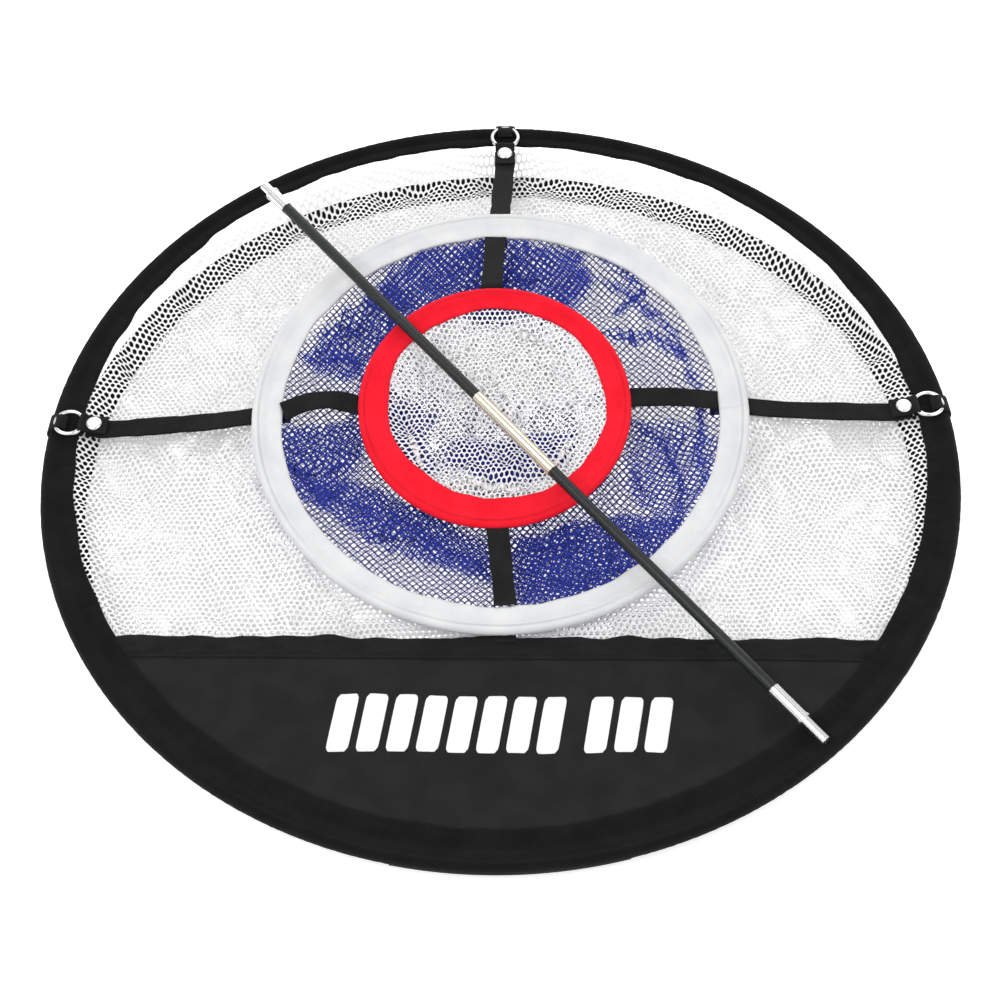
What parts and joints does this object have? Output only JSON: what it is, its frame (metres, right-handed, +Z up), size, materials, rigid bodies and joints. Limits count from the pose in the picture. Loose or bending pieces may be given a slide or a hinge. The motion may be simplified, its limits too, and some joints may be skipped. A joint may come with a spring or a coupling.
{
  "type": "golf chipping net",
  "caption": "Folding round golf chipping net: hinged base and target hoops, two inner hoops with net pockets hung on straps, front cloth panel and a loose two-piece prop pole.",
  "frame": {"origin": "on the ground under the middle of the folded net", "axes": "+Z up, -Y towards the front where the two big hoops are hinged, +X to the right"},
  "size_m": [0.5114, 0.5108, 0.0861],
  "materials": {
    "black_sleeve": "matt woven polyester",
    "white_sleeve": "matt woven polyester",
    "red_sleeve": "matt woven polyester",
    "white_net": "soft polyester mesh",
    "blue_net": "soft polyester mesh",
    "black_panel": "satin coated polyester",
    "white_print": "screen print",
    "black_webbing": "woven polyester tape",
    "spring_steel": "drawn wire",
    "plated_steel": "bright nickel plate",
    "black_rod": "pultruded glass fibre, satin",
    "ferrule": "champagne anodised",
    "end_fitting": "bright turned",
    "elastic": "braided elastic"
  },
  "bodies": {
    "base": {"base_hoop_wire": "spring_steel", "base_hoop_wire_joiner": "spring_steel", "base_hoop_sleeve": "black_sleeve", "floor_net": "white_net", "front_hinge_tape": "black_webbing"},
    "target_frame": {"target_hoop_wire": "spring_steel", "target_hoop_wire_joiner": "spring_steel", "target_hoop_sleeve": "black_sleeve", "front_panel": "black_panel", "panel_binding": "black_panel", "panel_print": "white_print", "side_net": "white_net", "front_outer_strap": "black_webbing", "left_ring_tab": "black_webbing", "right_ring_tab": "black_webbing", "rear_ring_tab": "black_webbing", "left_outer_strap": "black_webbing", "right_outer_strap": "black_webbing", "rear_outer_strap": "black_webbing", "left_stud_post": "plated_steel", "right_stud_post": "plated_steel", "rear_stud_post": "plated_steel"},
    "middle_hoop": {"middle_hoop_wire": "spring_steel", "middle_hoop_wire_joiner": "spring_steel", "middle_hoop_sleeve": "white_sleeve", "middle_net": "blue_net", "middle_net_floor": "blue_net", "left_inner_strap": "black_webbing", "right_inner_strap": "black_webbing", "rear_inner_strap": "black_webbing", "front_inner_strap": "black_webbing"},
    "centre_hoop": {"centre_hoop_wire": "spring_steel", "centre_hoop_wire_joiner": "spring_steel", "centre_hoop_sleeve": "red_sleeve", "centre_net": "white_net", "centre_net_floor": "white_net"},
    "pole_upper": {"upper_rod": "black_rod", "ferrule": "ferrule", "upper_end_fitting": "end_fitting", "shock_cord": "elastic", "upper_cord_knot": "elastic"},
    "pole_lower": {"lower_rod": "black_rod", "lower_end_fitting": "end_fitting", "lower_cord_knot": "elastic"},
    "left_ring": {"left_o_ring": "plated_steel"},
    "left_flap": {"left_strap_flap": "black_webbing", "left_stud_cap": "plated_steel", "left_stud_socket": "plated_steel"},
    "right_ring": {"right_o_ring": "plated_steel"},
    "right_flap": {"right_strap_flap": "black_webbing", "right_stud_cap": "plated_steel", "right_stud_socket": "plated_steel"},
    "rear_ring": {"rear_o_ring": "plated_steel"},
    "rear_flap": {"rear_strap_flap": "black_webbing", "rear_stud_cap": "plated_steel", "rear_stud_socket": "plated_steel"}
  },
  "joints": [
    {"name": "target_open", "type": "hinge", "parent": "base", "child": "target_frame", "pos_m": [0, -0.2464, 0.0036], "axis": [1, 0, 0], "range_deg": [0, 51], "deforming": ["side_net"]},
    {"name": "middle_lift", "type": "slide", "parent": "target_frame", "child": "middle_hoop", "axis": [0, -0.0558, 0.9984], "range_m": [0, 0.05], "deforming": ["left_outer_strap", "right_outer_strap", "rear_outer_strap", "front_outer_strap"]},
    {"name": "centre_lift", "type": "slide", "parent": "middle_hoop", "child": "centre_hoop", "axis": [0, -0.0558, 0.9984], "range_m": [0, 0.04], "deforming": ["left_inner_strap", "right_inner_strap", "rear_inner_strap", "front_inner_strap"]},
    {"name": "pole_lift_off", "type": "slide", "parent": "centre_hoop", "child": "pole_upper", "axis": [0, -0.0558, 0.9984], "range_m": [0, 0.12]},
    {"name": "pole_pull_apart", "type": "slide", "parent": "pole_upper", "child": "pole_lower", "axis": [0.6347, -0.7621, -0.1277], "range_m": [0, 0.05], "stiffness_N_per_m": 40, "springref_m": -0.02},
    {"name": "left_ring_turn", "type": "hinge", "parent": "target_frame", "child": "left_ring", "pos_m": [-0.24169, 0.02895, 0.03308], "axis": [0, -0.0558, 0.9984], "continuous": true},
    {"name": "left_flap_open", "type": "hinge", "parent": "target_frame", "child": "left_flap", "pos_m": [-0.23394, 0.028, 0.03303], "axis": [-0.1219, -0.991, -0.0554], "range_deg": [0, 110]},
    {"name": "right_ring_turn", "type": "hinge", "parent": "target_frame", "child": "right_ring", "pos_m": [0.24194, 0.02684, 0.03296], "axis": [0, -0.0558, 0.9984], "continuous": true},
    {"name": "right_flap_open", "type": "hinge", "parent": "target_frame", "child": "right_flap", "pos_m": [0.23419, 0.02596, 0.03291], "axis": [-0.1132, 0.992, 0.0555], "range_deg": [0, 110]},
    {"name": "rear_ring_turn", "type": "hinge", "parent": "target_frame", "child": "rear_ring", "pos_m": [0.0085, 0.24229, 0.04501], "axis": [0, -0.0558, 0.9984], "continuous": true},
    {"name": "rear_flap_open", "type": "hinge", "parent": "target_frame", "child": "rear_flap", "pos_m": [0.00823, 0.23451, 0.04457], "axis": [-0.9994, 0.0348, 0.0019], "range_deg": [0, 110]}
  ]
}
